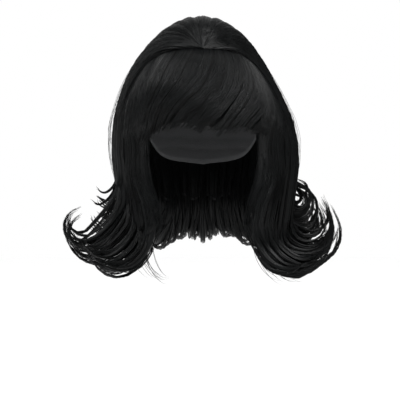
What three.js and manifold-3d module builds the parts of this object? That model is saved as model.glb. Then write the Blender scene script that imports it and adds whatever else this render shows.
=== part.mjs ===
// A beehive wig with swept bangs and flipped ends, in millimetres, as it keeps its form on a head.
// The origin is the inside of the crown, where the cap sits on the head.
// +Z is up, the face looks along -Y and +X is on the right of someone looking at the face.
//
// Every piece is laid out on a flat map of the head. The crown is at the map's centre, and a spot's
// distance from it is its level: 1 is the cap's widest section, and from 1 to 2 the hair hangs free.
// A spot's azimuth is 0 at the face, 90 on the +X side and 180 at the back of the head.
import * as THREE from "three";
import { LoftGeometry } from "three/addons/geometries/LoftGeometry.js";
import { mergeVertices } from "three/addons/utils/BufferGeometryUtils.js";
import Module from "manifold-3d";

// The cap, measured inside, and the gap left between any two pieces
const CAP_WIDTH = 152;
const CAP_LENGTH = 196;
const CAP_HEIGHT = 105;
const CAP_WALL = 1.5;
const CLEARANCE = 0.4;
const FACET_SAG = 0.6; // how far a flat facet may lie inside the curve that it stands for

// How far the hair stands off the cap at the crown, over each ear, behind the head and in the bangs
const CROWN_VOLUME = 35;
const SIDE_VOLUME = 35;
const BACK_VOLUME = 40;
const BANGS_VOLUME = 21;
// The set of the whole style, to -X over the crown and to +X below the ears
const LEAN = 4;

// How far the hair hangs below the cap's widest section before its ends flip out
const FALL_DROP = 120;

// Azimuths, in degrees, of the edges between the sections of hair, the same on both sides
const FACE_EDGE = 47;
const SWEEP_EDGE = 64;
const SIDE_EDGE = 118;
const BACK_EDGE = 160;

// Levels on the map
const PIN_LEVEL = 0.36; // where the front hair is pinned, at the foot of the V in the crown
const CROWN_END = 0.8; // where the crown's hair ends at the back
const BANGS_SIDE_END = 1.2; // the bangs' tips over the temples
const TEMPLE_START = 0.86;
const FALL_END = 1.93; // where the falls give way to their locks
const TEMPLE_END = 2.1;
const FLARE_START = 1.3; // where the locks' own lines begin inside the falls
const ROW_STEP = 0.1;

// The bangs sweep to -X by this share of their width
const BANGS_SWEEP = 0.16;

const RADIANS = Math.PI / 180;
const TRIM_REACH = 600;
const HAIR = new THREE.MeshStandardMaterial({ color: 0x111314, roughness: 0.42, metalness: 0 });
const NET = new THREE.MeshStandardMaterial({ color: 0x1c1d1f, roughness: 0.85, metalness: 0 });

// The hanging hair's inner outline, as shares of the cap's half width and half length.
// `at` is the level.
const FALL_OUTLINE = [
  { at: 1.0, side: 1.0, front: 1.0, back: 1.0 },
  { at: 1.3, side: 1.02, front: 0.98, back: 0.93 },
  { at: 1.6, side: 0.95, front: 0.84, back: 0.8 },
  { at: 2.0, side: 0.9, front: 0.72, back: 0.76 },
  { at: 2.4, side: 0.9, front: 0.7, back: 0.8 },
];

// The hair's depth on the cap, as shares of CROWN_VOLUME, BANGS_VOLUME, SIDE_VOLUME, BACK_VOLUME and LEAN
const HAIR_DEPTH = [
  { at: 0.0, crown: 1.0, front: 0.0, side: 0.0, back: 0.0, lean: 0.0 },
  { at: 0.17, crown: 0.8, front: 0.0, side: 0.05, back: 0.28, lean: -0.3 },
  { at: 0.33, crown: 0.42, front: 0.05, side: 0.34, back: 0.66, lean: -0.55 },
  { at: 0.5, crown: 0.12, front: 0.55, side: 0.56, back: 0.93, lean: -0.85 },
  { at: 0.67, crown: 0.0, front: 0.88, side: 0.7, back: 0.97, lean: -0.9 },
  { at: 0.83, crown: 0.0, front: 0.9, side: 0.79, back: 0.88, lean: -0.45 },
  { at: 1.0, crown: 0.0, front: 0.62, side: 0.96, back: 0.76, lean: 0.3 },
  { at: 1.3, crown: 0.0, front: 0.55, side: 0.99, back: 0.6, lean: 0.8 },
  { at: 1.6, crown: 0.0, front: 0.6, side: 1.03, back: 0.55, lean: 1.0 },
  { at: 2.0, crown: 0.0, front: 0.7, side: 1.0, back: 0.58, lean: 0.6 },
  { at: 2.4, crown: 0.0, front: 0.7, side: 1.0, back: 0.6, lean: 0.4 },
];

// The cap's edge: hairline, temple, ear tab, ear and nape. `at` is the azimuth, level is on the map.
const CAP_EDGE = [
  { at: 0, level: 0.64 },
  { at: 35, level: 0.67 },
  { at: 58, level: 0.86 },
  { at: 74, level: 1.1 },
  { at: 84, level: 1.08 },
  { at: 98, level: 0.93 },
  { at: 118, level: 1.0 },
  { at: 145, level: 1.26 },
  { at: 180, level: 1.34 },
];

// The brow line of the bangs, from the +X temple to the -X one: shares of their width and levels
const BROW_LINE = [
  { at: 0.0, level: BANGS_SIDE_END },
  { at: 0.08, level: 1.1 },
  { at: 0.2, level: 1.045 },
  { at: 0.4, level: 1.06 },
  { at: 0.5, level: 1.02 },
  { at: 0.62, level: 1.035 },
  { at: 0.8, level: 1.04 },
  { at: 0.92, level: 1.1 },
  { at: 1.0, level: BANGS_SIDE_END },
];

// The face-framing hair's front edge: azimuths as shares of FACE_EDGE. `at` is the level.
const FACE_LINE = [
  { at: 0.8, share: 1.05 },
  { at: 1.1, share: 1.0 },
  { at: 1.4, share: 1.06 },
  { at: 1.65, share: 1.0 },
  { at: 1.8, share: 0.89 },
  { at: 2.0, share: 0.87 },
  { at: 2.2, share: 0.95 },
];

// Half the width of the tuft in the crown's V, as a share of the whole fan of strands, along a strand
const TUFT_EDGE = [
  { at: 0.0, half: 0.06 },
  { at: 0.3, half: 0.055 },
  { at: 0.6, half: 0.012 },
  { at: 1.0, half: 0.0 },
];
const TUFT_END = 0.56;

// The falls of long hair. `front` and `rear` are azimuths on the +X side, and side -1 mirrors them.
const FALLS = {
  temple_left: { side: -1, front: FACE_EDGE, rear: SWEEP_EDGE },
  temple_right: { side: 1, front: FACE_EDGE, rear: SWEEP_EDGE },
  side_fall_left: { side: -1, front: SWEEP_EDGE, rear: SIDE_EDGE },
  side_fall_right: { side: 1, front: SWEEP_EDGE, rear: SIDE_EDGE },
  back_fall_left: { side: -1, front: SIDE_EDGE, rear: BACK_EDGE },
  back_fall_centre: { side: 1, front: BACK_EDGE, rear: 360 - BACK_EDGE },
  back_fall_right: { side: 1, front: SIDE_EDGE, rear: BACK_EDGE },
};

// A whole flipped lock: the radius of its gentle bend, that of its tight end, its straight tip, its width
// and its thickness
const BEND_RADIUS = 70;
const FLIP_RADIUS = 30;
const TIP_LENGTH = 20;
const LOCK_WIDTH = 27;
const LOCK_DEPTH = 20;
const BEND_TURN = 60; // the gentle bend gives way to the tight end after this many degrees

// The flipped locks. `across` is the share of the fall from front to rear, `leave` the level where the
// lock turns away, `place` its share of the hair's depth there and `turn` how far it turns, in degrees.
// The other columns are shares of the five sizes above.
const LOCKS = [
  { on: "temple_left", across: 0.5, leave: 1.98, place: 0.45, bend: 0.8, flip: 1.3, turn: 120, tip: 0.8, wide: 1.1, deep: 1.3 },
  { on: "temple_right", across: 0.5, leave: 1.99, place: 0.45, bend: 0.8, flip: 1.6, turn: 125, tip: 0.9, wide: 1.0, deep: 1.1 },
  { on: "side_fall_left", across: 0.13, leave: 1.5, place: 0.55, bend: 1.22, flip: 0.8, turn: 215, tip: 0.5, wide: 0.95, deep: 1.7 },
  { on: "side_fall_left", across: 0.36, leave: 1.83, place: 0.5, bend: 0.87, flip: 1.03, turn: 150, tip: 0.5, wide: 1.0, deep: 1.3 },
  { on: "side_fall_left", across: 0.62, leave: 1.5, place: 0.75, bend: 0.43, flip: 0.47, turn: 150, tip: 0.4, wide: 0.9, deep: 0.9 },
  { on: "side_fall_left", across: 0.87, leave: 1.7, place: 0.6, bend: 0.64, flip: 0.67, turn: 150, tip: 0.5, wide: 1.0, deep: 1.1 },
  { on: "side_fall_right", across: 0.12, leave: 1.97, place: 0.4, bend: 0.69, flip: 1.5, turn: 135, tip: 0.8, wide: 0.95, deep: 1.2 },
  { on: "side_fall_right", across: 0.36, leave: 1.84, place: 0.5, bend: 0.69, flip: 1.0, turn: 215, tip: 1.0, wide: 1.0, deep: 1.6 },
  { on: "side_fall_right", across: 0.62, leave: 1.66, place: 0.5, bend: 0.54, flip: 0.57, turn: 210, tip: 1.4, wide: 0.95, deep: 0.8 },
  { on: "side_fall_right", across: 0.87, leave: 1.8, place: 0.5, bend: 0.6, flip: 0.7, turn: 180, tip: 0.5, wide: 1.0, deep: 1.1 },
  { on: "back_fall_left", across: 0.18, leave: 1.76, place: 0.5, bend: 0.6, flip: 0.8, turn: 180, tip: 0.6, wide: 0.95, deep: 1.2 },
  { on: "back_fall_left", across: 0.5, leave: 1.66, place: 0.5, bend: 0.6, flip: 0.7, turn: 200, tip: 0.8, wide: 1.0, deep: 1.1 },
  { on: "back_fall_left", across: 0.82, leave: 1.76, place: 0.5, bend: 0.7, flip: 0.85, turn: 190, tip: 0.6, wide: 0.95, deep: 1.2 },
  { on: "back_fall_centre", across: 0.18, leave: 1.68, place: 0.5, bend: 0.6, flip: 0.8, turn: 205, tip: 0.7, wide: 0.95, deep: 1.1 },
  { on: "back_fall_centre", across: 0.5, leave: 1.78, place: 0.5, bend: 0.7, flip: 0.9, turn: 190, tip: 0.5, wide: 1.0, deep: 1.2 },
  { on: "back_fall_centre", across: 0.82, leave: 1.7, place: 0.5, bend: 0.6, flip: 0.75, turn: 200, tip: 0.8, wide: 0.95, deep: 1.1 },
  { on: "back_fall_right", across: 0.18, leave: 1.7, place: 0.5, bend: 0.65, flip: 0.8, turn: 185, tip: 0.6, wide: 0.95, deep: 1.2 },
  { on: "back_fall_right", across: 0.5, leave: 1.76, place: 0.5, bend: 0.6, flip: 0.75, turn: 195, tip: 0.9, wide: 1.0, deep: 1.1 },
  { on: "back_fall_right", across: 0.82, leave: 1.7, place: 0.5, bend: 0.7, flip: 0.8, turn: 200, tip: 0.5, wide: 0.95, deep: 1.2 },
];

const { lerp, clamp, smoothstep } = THREE.MathUtils;
const wasm = await Module();
wasm.setup();

// A column of a table at a place between its rows, on a smooth curve through them.
function read(table, column, at) {
  let row = 0;
  while (row < table.length - 2 && at > table[row + 1].at) row++;
  const [before, from, to, after] = [row - 1, row, row + 1, row + 2].map((r) => table[clamp(r, 0, table.length - 1)]);
  const span = to.at - from.at;
  const x = clamp((at - from.at) / span, 0, 1);
  const startSlope = ((to[column] - before[column]) / (to.at - before.at)) * span;
  const endSlope = ((after[column] - from[column]) / (after.at - from.at)) * span;
  return (
    from[column] * (1 + 2 * x) * (1 - x) ** 2 +
    to[column] * x * x * (3 - 2 * x) +
    startSlope * x * (1 - x) ** 2 -
    endSlope * x * x * (1 - x)
  );
}

// A spot on the map from its azimuth and level.
function spotAt(azimuth, level) {
  return new THREE.Vector2(level * Math.sin(azimuth * RADIANS), -level * Math.cos(azimuth * RADIANS));
}

// The map distance that is at least this many millimetres on the cap, in any direction.
function mapStep(millimetres) {
  return (2 * millimetres) / Math.min(CAP_WIDTH, CAP_LENGTH);
}

// The point this far outside the cap's inner surface, at a spot on the map. It keeps the spot's azimuth.
function pointOff(spot, offset) {
  const level = spot.length();
  const x = level > 0 ? spot.x / level : 0;
  const y = level > 0 ? spot.y / level : 1;
  const hanging = Math.max(level, 1);
  const halfWidth = (CAP_WIDTH / 2) * read(FALL_OUTLINE, "side", hanging);
  const halfLength = (CAP_LENGTH / 2) * read(FALL_OUTLINE, y < 0 ? "front" : "back", hanging);
  const radius = 1 / Math.hypot(x / halfWidth, y / halfLength);
  const polar = (Math.min(level, 1) * Math.PI) / 2;
  const slope = Math.atan2(Math.sin(polar) / radius, Math.cos(polar) / CAP_HEIGHT);
  const reach = radius * Math.sin(polar) + Math.sin(slope) * offset;
  const height = CAP_HEIGHT * (Math.cos(polar) - 1) - FALL_DROP * (hanging - 1) + Math.cos(slope) * offset;
  return new THREE.Vector3(reach * x, reach * y, height);
}

// The hair's depth at a spot. Around the pin it is drawn in.
function hairDepth(spot) {
  const level = spot.length();
  const sine = level > 0 ? spot.x / level : 0;
  const cosine = level > 0 ? -spot.y / level : 0;
  const front = cosine > 0 ? cosine ** 2 : 0;
  const back = cosine < 0 ? cosine ** 2 : 0;
  const depth =
    CROWN_VOLUME * read(HAIR_DEPTH, "crown", level) +
    BANGS_VOLUME * read(HAIR_DEPTH, "front", level) * front +
    SIDE_VOLUME * read(HAIR_DEPTH, "side", level) * sine ** 2 +
    BACK_VOLUME * read(HAIR_DEPTH, "back", level) * back +
    LEAN * read(HAIR_DEPTH, "lean", level) * sine;
  const fromPin = spot.distanceTo(spotAt(0, PIN_LEVEL)) / 0.1;
  return depth * (1 - 0.35 * Math.exp(-(fromPin ** 2)));
}

// A point in the hair: share 0 is on the cap and share 1 on the outside.
function hairPoint(spot, share) {
  return pointOff(spot, CAP_WALL + CLEARANCE + FACET_SAG + share * hairDepth(spot));
}

// The long strands all fan out from the pin. Strand 0 runs along the -X edge of the bangs, strand 0.5 over
// the crown to the nape and strand 1 along the +X edge. `along` is 0 at the pin and is the level from 1 on.
function fan(strand, along, shift = 0) {
  const azimuth = -lerp(SWEEP_EDGE, 360 - SWEEP_EDGE, strand);
  const end = spotAt(azimuth, 1);
  const pin = spotAt(0, PIN_LEVEL);
  const leaving = lerp(186, -6, strand) * RADIANS;
  const first = pin.clone().add(new THREE.Vector2(Math.cos(leaving), Math.sin(leaving)).multiplyScalar(0.31));
  const curve = new THREE.CubicBezierCurve(pin, first, end.clone().multiplyScalar(2 / 3), end);
  const spot = along < 1 ? curve.getPoint(along) : end.clone().multiplyScalar(along);
  const tangent = along < 1 ? curve.getTangent(along) : end;
  const aside = new THREE.Vector2(tangent.y, -tangent.x).normalize();
  return spot.addScaledVector(aside, shift * Math.max(along, 1));
}

// The strand of the fan that hangs at this azimuth.
function strandAt(azimuth) {
  return (azimuth - SWEEP_EDGE) / (360 - 2 * SWEEP_EDGE);
}

// A closed geometry as a solid that can be cut and joined.
function solidOf(shape) {
  const geometry = new THREE.BufferGeometry().copy(shape);
  geometry.deleteAttribute("normal");
  geometry.deleteAttribute("uv");
  const merged = mergeVertices(geometry, 1e-4);
  const corners = merged.index.array;
  const triangles = [];
  for (let i = 0; i < corners.length; i += 3) {
    const [a, b, c] = corners.slice(i, i + 3);
    if (a !== b && b !== c && c !== a) triangles.push(a, b, c);
  }
  return new wasm.Manifold(
    new wasm.Mesh({
      numProp: 3,
      vertProperties: merged.attributes.position.array,
      triVerts: new Uint32Array(triangles),
    }),
  );
}

// The largest body of a solid. Trimming can leave crumbs beside it.
function mainBody(solid) {
  return solid.decompose().reduce((best, body) => (body.volume() > best.volume() ? body : best));
}

// A named mesh of a finished solid.
function meshOf(name, solid, material) {
  const made = mainBody(solid).getMesh();
  const geometry = new THREE.BufferGeometry();
  geometry.setAttribute("position", new THREE.BufferAttribute(made.vertProperties, 3));
  geometry.setIndex(new THREE.BufferAttribute(made.triVerts, 1));
  geometry.computeVertexNormals();
  const mesh = new THREE.Mesh(geometry, material);
  mesh.name = name;
  return mesh;
}

// The levels of a section's rows. Neighbours share them, so that their facets run side by side.
function rowLevels(from, to) {
  const levels = [from];
  for (let row = Math.ceil(from / ROW_STEP + 0.3); row < to / ROW_STEP - 0.3; row++) levels.push(row * ROW_STEP);
  return [...levels, to];
}

// A section's outline pressed flat halfway through its depth, which closes the end of a loft.
function pressed(outline) {
  const last = outline.length - 1;
  return outline.map((point, i) => outline[Math.min(i, last - i)].clone().lerp(outline[Math.max(i, last - i)], 0.5));
}

// A section of hair. path(u, v) is a spot on the map, and depth(u, v) gives the shares of the hair's depth
// between which the section lies. Its strands run along v.
function panel({ path, depth, columns, rows }) {
  const sections = [];
  for (const along of rows) {
    const outside = [];
    const inside = [];
    for (let column = 0; column <= columns; column++) {
      const across = column / columns;
      const spot = path(across, along);
      const [low, high] = depth(across, along);
      outside.push(hairPoint(spot, high));
      inside.unshift(hairPoint(spot, low));
    }
    sections.push([...outside, ...inside]);
  }
  return solidOf(new LoftGeometry([pressed(sections[0]), ...sections, pressed(sections.at(-1))]));
}

// How much of its depth a section keeps at a place across it: rounded edges, and shallow furrows between locks.
function crowned(across, locks, edge = 0.35, furrow = 0.07) {
  const rounded = 1 - edge * Math.abs(2 * across - 1) ** 5;
  return rounded - furrow * (0.5 + 0.5 * Math.cos(2 * Math.PI * locks * across));
}

// The cap: one thin wall from the crown to the hairline, with tabs before the ears and a drop at the nape.
function cap() {
  const steps = 36;
  const rows = 8;
  const sections = [];
  for (let step = 0; step <= steps; step++) {
    const azimuth = (360 * step) / steps;
    const edge = read(CAP_EDGE, "level", Math.min(azimuth, 360 - azimuth));
    const outside = [];
    const inside = [];
    for (let row = 0; row <= rows; row++) {
      const spot = spotAt(azimuth, (edge * row) / rows);
      outside.push(pointOff(spot, CAP_WALL));
      inside.unshift(pointOff(spot, 0));
    }
    sections.push([...outside, ...inside]);
  }
  return solidOf(new LoftGeometry(sections));
}

// The bangs hang from under the sweep of the long hair, over the brow. u runs from +X to -X.
function bangs() {
  const corner = 0.62; // how far along the first and last strands of the fan the bangs are rooted
  const shift = mapStep(CLEARANCE);
  const sideSpot = (edge, along) => fan(edge, lerp(corner, BANGS_SIDE_END, along), edge > 0.5 ? shift : -shift);
  const rootSpot = (across) => {
    const along = Math.abs(2 * across - 1) * corner;
    const spot = fan(across < 0.5 ? 1 : 0, along, 0);
    return spot.add(new THREE.Vector2(0, -1.5 * shift));
  };
  const browSpot = (across) => {
    const level = read(BROW_LINE, "level", across);
    const corners = [sideSpot(1, 1), sideSpot(0, 1)].map((spot) => Math.atan2(spot.x, -spot.y) / RADIANS);
    return spotAt(lerp(corners[0], corners[1], across), level);
  };
  const topCorners = [rootSpot(0), rootSpot(1)];
  const lowCorners = [browSpot(0), browSpot(1)];
  const patch = (u, v) => {
    const spot = rootSpot(u).multiplyScalar(1 - v).addScaledVector(browSpot(u), v);
    spot.addScaledVector(sideSpot(1, v), 1 - u).addScaledVector(sideSpot(0, v), u);
    spot.addScaledVector(topCorners[0], -(1 - u) * (1 - v)).addScaledVector(topCorners[1], -u * (1 - v));
    return spot.addScaledVector(lowCorners[0], -(1 - u) * v).addScaledVector(lowCorners[1], -u * v);
  };
  const sweep = (u, v) => u + BANGS_SWEEP * v * v * 4 * u * (1 - u);
  const depth = (u, v) => {
    const margin = smoothstep(Math.abs(2 * sweep(u, v) - 1), 0.55, 0.7);
    const low = 0.46 * margin * smoothstep(v, 0.2, 0.4);
    const root = lerp(0.7, 1, smoothstep(v, 0, 0.25));
    const tip = 1 - lerp(0.45, 0.28, margin) * smoothstep(v, 0.75, 1);
    return [low, crowned(u, 6, 0.15, 0.06) * root * tip];
  };
  return panel({ path: (u, v) => patch(sweep(u, v), v), depth, columns: 22, rows: rowLevels(0, 1) });
}

// The crown's two lobes, drawn back from the pin over the top of the head, and the tuft between them.
function crownLobe(side) {
  const shift = mapStep(CLEARANCE) / 2;
  const outer = strandAt(SIDE_EDGE);
  const path = (u, v) => {
    const inner = 0.5 - read(TUFT_EDGE, "half", v);
    const across = side < 0 ? lerp(outer, inner, u) : lerp(1 - inner, 1 - outer, u);
    return fan(across, v, lerp(shift, -shift, u));
  };
  const depth = (u, v) => {
    const rim = 1 - 0.2 * smoothstep(v, 0.7, CROWN_END);
    return [0, crowned(u, 3, 0.22) * rim];
  };
  return panel({ path, depth, columns: 12, rows: rowLevels(0.04, CROWN_END) });
}

function crownTuft() {
  const shift = mapStep(CLEARANCE) / 2;
  const path = (u, v) => {
    const half = read(TUFT_EDGE, "half", v);
    return fan(lerp(0.5 - half, 0.5 + half, u), v, lerp(shift, -shift, u));
  };
  const depth = (u) => [0, 0.96 - 0.1 * Math.abs(2 * u - 1) ** 3];
  return panel({ path, depth, columns: 4, rows: rowLevels(0.06, TUFT_END) });
}

// The wedge of space around the vertical axis between two azimuths, half the clearance inside each.
function sector(front, rear) {
  const middle = (front + rear) / 2;
  const half = ((rear - front) / 2) * RADIANS;
  const apex = spotAt(middle, CLEARANCE / 2 / Math.sin(half));
  const corners = [front, middle, rear].map((azimuth) => spotAt(azimuth, TRIM_REACH).add(apex));
  const outline = new THREE.Shape([apex, ...corners]);
  const geometry = new THREE.ExtrudeGeometry(outline, { depth: 2 * TRIM_REACH, bevelEnabled: false });
  geometry.translate(0, 0, -2 * TRIM_REACH);
  return solidOf(geometry);
}

// The line of a lock's middle: down inside its fall, out in a gentle bend, round its tight end, then straight.
function lockSpine(lock, azimuth) {
  const heading = spotAt(azimuth, 1);
  const depthAt = (level) => hairPoint(spotAt(azimuth, level), lock.place);
  const points = [depthAt(lerp(FLARE_START, lock.leave, 0.1)), depthAt(lerp(FLARE_START, lock.leave, 0.6)), depthAt(lock.leave)];
  const place = points[2].clone();
  const go = (turned, length) => {
    const down = (turned - 90) * RADIANS;
    place.add(new THREE.Vector3(heading.x * Math.cos(down), heading.y * Math.cos(down), Math.sin(down)).multiplyScalar(length));
    points.push(place.clone());
  };
  const arc = (from, to, radius, steps) => {
    const turn = (to - from) / steps;
    for (let step = 0; step < steps; step++) go(from + turn * (step + 0.5), radius * turn * RADIANS);
  };
  arc(0, BEND_TURN, BEND_RADIUS * lock.bend, 3);
  arc(BEND_TURN, lock.turn, FLIP_RADIUS * lock.flip, Math.ceil((lock.turn - BEND_TURN) / 30));
  go(lock.turn, TIP_LENGTH * lock.tip);
  return points;
}

// A flipped lock: oval sections along its line that draw in to a tip.
function flippedLock(lock, azimuth) {
  const sides = 8;
  const points = lockSpine(lock, azimuth);
  const wide = new THREE.Vector3(Math.cos(azimuth * RADIANS), Math.sin(azimuth * RADIANS), 0);
  const sections = points.map((point, i) => {
    const ahead = points[Math.min(i + 1, points.length - 1)];
    const behind = points[Math.max(i - 1, 0)];
    const deep = ahead.clone().sub(behind).normalize().cross(wide);
    const along = i / (points.length - 1);
    const taper = lerp(0.6, 1, smoothstep(along, 0, 0.3)) * (1 - 0.9 * smoothstep(along, 0.45, 1));
    const section = [];
    for (let side = 0; side < sides; side++) {
      const angle = (2 * Math.PI * side) / sides;
      section.push(
        point
          .clone()
          .addScaledVector(wide, (Math.cos(angle) * LOCK_WIDTH * lock.wide * taper) / 2)
          .addScaledVector(deep, (Math.sin(angle) * LOCK_DEPTH * lock.deep * taper) / 2),
      );
    }
    return section;
  });
  return solidOf(new LoftGeometry(sections, { capStart: true, capEnd: true }));
}

// A fall of long hair: a panel that hangs round the neck, with its flipped locks fused to it.
function fall({ name, path, from, to, locksAcross, topShare }) {
  const { side, front, rear } = FALLS[name];
  const depth = (u, v) => {
    const thin = smoothstep(v, to - 0.35, to);
    const [low, high] = topShare(u, v);
    return [low + 0.22 * thin, high * crowned(u, locksAcross) * (1 - 0.22 * thin)];
  };
  const body = panel({ path, depth, columns: 2 * locksAcross, rows: rowLevels(from, to) });
  const locks = LOCKS.filter((lock) => lock.on === name).map((lock) =>
    flippedLock(lock, side * lerp(front, rear, lock.across)),
  );
  const bounds = side > 0 ? [front, rear] : [-rear, -front];
  const space = sector(...(name.startsWith("temple") ? widened(bounds, side) : bounds));
  return locks.reduce((whole, lock) => whole.add(lock.intersect(space)), body);
}

// The temple's bounds opened towards the face, where no other section hangs.
function widened([first, last], side) {
  return side > 0 ? [first - SWEEP_EDGE / 2, last] : [first, last + SWEEP_EDGE / 2];
}

// The hair before the ears, from under the bangs' ends to the shoulders. It frames the face.
function temple(side) {
  const shift = mapStep(CLEARANCE);
  const face = (v) => spotAt(side * FACE_EDGE * read(FACE_LINE, "share", v), v);
  const rear = (v) => fan(side > 0 ? 1 : 0, v, side * shift);
  const path = (u, v) => (side > 0 ? rear(v).lerp(face(v), u) : face(v).lerp(rear(v), u));
  const topShare = (u, v) => [0, lerp(0.38, 1, smoothstep(v, BANGS_SIDE_END - 0.05, BANGS_SIDE_END + 0.3))];
  const name = side > 0 ? "temple_right" : "temple_left";
  return fall({ name, path, from: TEMPLE_START, to: TEMPLE_END, locksAcross: 2, topShare });
}

// The long side hair: it sweeps from the pin along the edge of the bangs, over the ear and down.
function sideFall(side) {
  const shift = mapStep(CLEARANCE) / 2;
  const edge = strandAt(SIDE_EDGE);
  const path = (u, v) => fan(side < 0 ? u * edge : 1 - (1 - u) * edge, v, lerp(shift, -shift, u));
  const name = side > 0 ? "side_fall_right" : "side_fall_left";
  return fall({ name, path, from: 0.05, to: FALL_END, locksAcross: 4, topShare: () => [0, 1] });
}

// The hair behind the head, from the crown's end to the shoulders.
function backFall(name) {
  const shift = mapStep(CLEARANCE) / 2;
  const { side, front, rear } = FALLS[name];
  const [first, last] = side < 0 ? [front, rear] : [360 - rear, 360 - front];
  const path = (u, v) => fan(lerp(strandAt(first), strandAt(last), u), v, lerp(shift, -shift, u));
  const topShare = (u, v) => [0, lerp(0.8, 1, smoothstep(v, CROWN_END, CROWN_END + 0.15))];
  return fall({ name, path, from: CROWN_END + mapStep(CLEARANCE), to: FALL_END, locksAcross: 3, topShare });
}

const wig = new THREE.Group();
wig.add(
  meshOf("wig_cap", cap(), NET),
  meshOf("bangs", bangs(), HAIR),
  meshOf("crown_left", crownLobe(-1), HAIR),
  meshOf("crown_right", crownLobe(1), HAIR),
  meshOf("crown_tuft", crownTuft(), HAIR),
  meshOf("temple_left", temple(-1), HAIR),
  meshOf("temple_right", temple(1), HAIR),
  meshOf("side_fall_left", sideFall(-1), HAIR),
  meshOf("side_fall_right", sideFall(1), HAIR),
  meshOf("back_fall_left", backFall("back_fall_left"), HAIR),
  meshOf("back_fall_centre", backFall("back_fall_centre"), HAIR),
  meshOf("back_fall_right", backFall("back_fall_right"), HAIR),
);

export default wig;
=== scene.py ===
"""A beehive wig of straight black fibre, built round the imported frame.

Each section of hair is a dark underlayer that carries hundreds of fine strands. The strands fan out from
the pin over the bangs, run down the sections and end in flipped locks. All of it is laid out on the same
flat map of the head as the CAD, with the same sizes, in metres.
"""

import math

import bpy
import numpy as np
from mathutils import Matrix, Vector


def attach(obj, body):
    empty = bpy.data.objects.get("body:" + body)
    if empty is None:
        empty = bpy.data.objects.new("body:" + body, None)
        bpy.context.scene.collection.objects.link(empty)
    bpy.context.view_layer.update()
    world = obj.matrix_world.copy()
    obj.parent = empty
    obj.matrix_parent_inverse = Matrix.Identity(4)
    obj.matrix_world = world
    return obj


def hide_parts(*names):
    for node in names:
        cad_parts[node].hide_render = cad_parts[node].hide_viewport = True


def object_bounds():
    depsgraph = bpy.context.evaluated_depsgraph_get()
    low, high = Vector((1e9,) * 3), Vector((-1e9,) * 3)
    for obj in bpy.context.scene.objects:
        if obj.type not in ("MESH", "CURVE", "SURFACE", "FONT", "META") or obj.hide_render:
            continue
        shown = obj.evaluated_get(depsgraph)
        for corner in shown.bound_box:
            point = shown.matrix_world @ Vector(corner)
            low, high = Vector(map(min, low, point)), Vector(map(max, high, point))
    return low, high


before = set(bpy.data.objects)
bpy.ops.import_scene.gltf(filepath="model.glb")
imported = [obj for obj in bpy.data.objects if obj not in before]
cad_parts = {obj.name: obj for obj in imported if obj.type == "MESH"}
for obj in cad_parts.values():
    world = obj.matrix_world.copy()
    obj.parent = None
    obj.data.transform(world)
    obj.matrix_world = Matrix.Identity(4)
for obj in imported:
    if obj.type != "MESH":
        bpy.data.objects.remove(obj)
cad_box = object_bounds()


def named_rows(columns, *rows):
    """A table with named columns, as a dictionary for each row."""
    return [dict(zip(columns, row, strict=True)) for row in rows]


# The cap, measured inside, and the gap left between any two pieces
CAP_WIDTH = 0.152
CAP_LENGTH = 0.196
CAP_HEIGHT = 0.105
CAP_WALL = 0.0015
CLEARANCE = 0.0004
FACET_SAG = 0.0006  # how far a flat facet of the solids may lie inside its curve

# How far the hair stands off the cap at the crown, over each ear, behind the head and in the bangs
CROWN_VOLUME = 0.035
SIDE_VOLUME = 0.035
BACK_VOLUME = 0.040
BANGS_VOLUME = 0.021
LEAN = 0.004  # the set of the whole style, to -X over the crown and to +X below the ears
FALL_DROP = 0.120  # how far the hair hangs below the cap's widest section before its ends flip out

# Around the pin the hair is drawn in by this share of its depth, over this distance on the map
PIN_DIP = 0.35
PIN_DIP_REACH = 0.1

# Azimuths, in degrees, of the edges between the sections of hair, the same on both sides
FACE_EDGE = 47
SWEEP_EDGE = 64
SIDE_EDGE = 118
BACK_EDGE = 160

# Levels on the map
PIN_LEVEL = 0.36  # where the front hair is pinned, at the foot of the V in the crown
CROWN_END = 0.8  # where the crown's hair ends at the back
BACK_START = CROWN_END - 0.12  # the back falls begin under the crown's ends
BANGS_SIDE_END = 1.2  # the bangs' tips over the temples
TEMPLE_START = 0.86
FALL_END = 1.93  # where the falls give way to their locks
TEMPLE_END = 2.1

# The headings of the first and the last strand of the fan at the pin, in degrees, and how far they hold
FIRST_HEADING = 186
LAST_HEADING = -6
HEADING_REACH = 0.31

# The bangs are rooted this far along the edge strands of the fan, a step in front of them, and sweep to -X
# by a share of their width
BANGS_CORNER = 0.62
BANGS_ROOT_STEP = 0.008
BANGS_SWEEP = 0.16

# The hanging hair's inner outline, as shares of the cap's half width and half length. `at` is the level.
FALL_OUTLINE = named_rows(
    ("at", "side", "front", "back"),
    (1.0, 1.0, 1.0, 1.0),
    (1.3, 1.02, 0.98, 0.93),
    (1.6, 0.95, 0.84, 0.8),
    (2.0, 0.9, 0.72, 0.76),
    (2.4, 0.9, 0.7, 0.8),
)

# The hair's depth, as shares of the volumes and the lean above. `at` is the level.
HAIR_DEPTH = named_rows(
    ("at", "crown", "front", "side", "back", "lean"),
    (0.0, 1.0, 0.0, 0.0, 0.0, 0.0),
    (0.17, 0.8, 0.0, 0.05, 0.28, -0.3),
    (0.33, 0.42, 0.05, 0.34, 0.66, -0.55),
    (0.5, 0.12, 0.55, 0.56, 0.93, -0.85),
    (0.67, 0.0, 0.88, 0.7, 0.97, -0.9),
    (0.83, 0.0, 0.9, 0.79, 0.88, -0.45),
    (1.0, 0.0, 0.62, 0.96, 0.76, 0.3),
    (1.3, 0.0, 0.55, 0.99, 0.6, 0.8),
    (1.6, 0.0, 0.6, 1.03, 0.55, 1.0),
    (2.0, 0.0, 0.7, 1.0, 0.58, 0.6),
    (2.4, 0.0, 0.7, 1.0, 0.6, 0.4),
)

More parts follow.
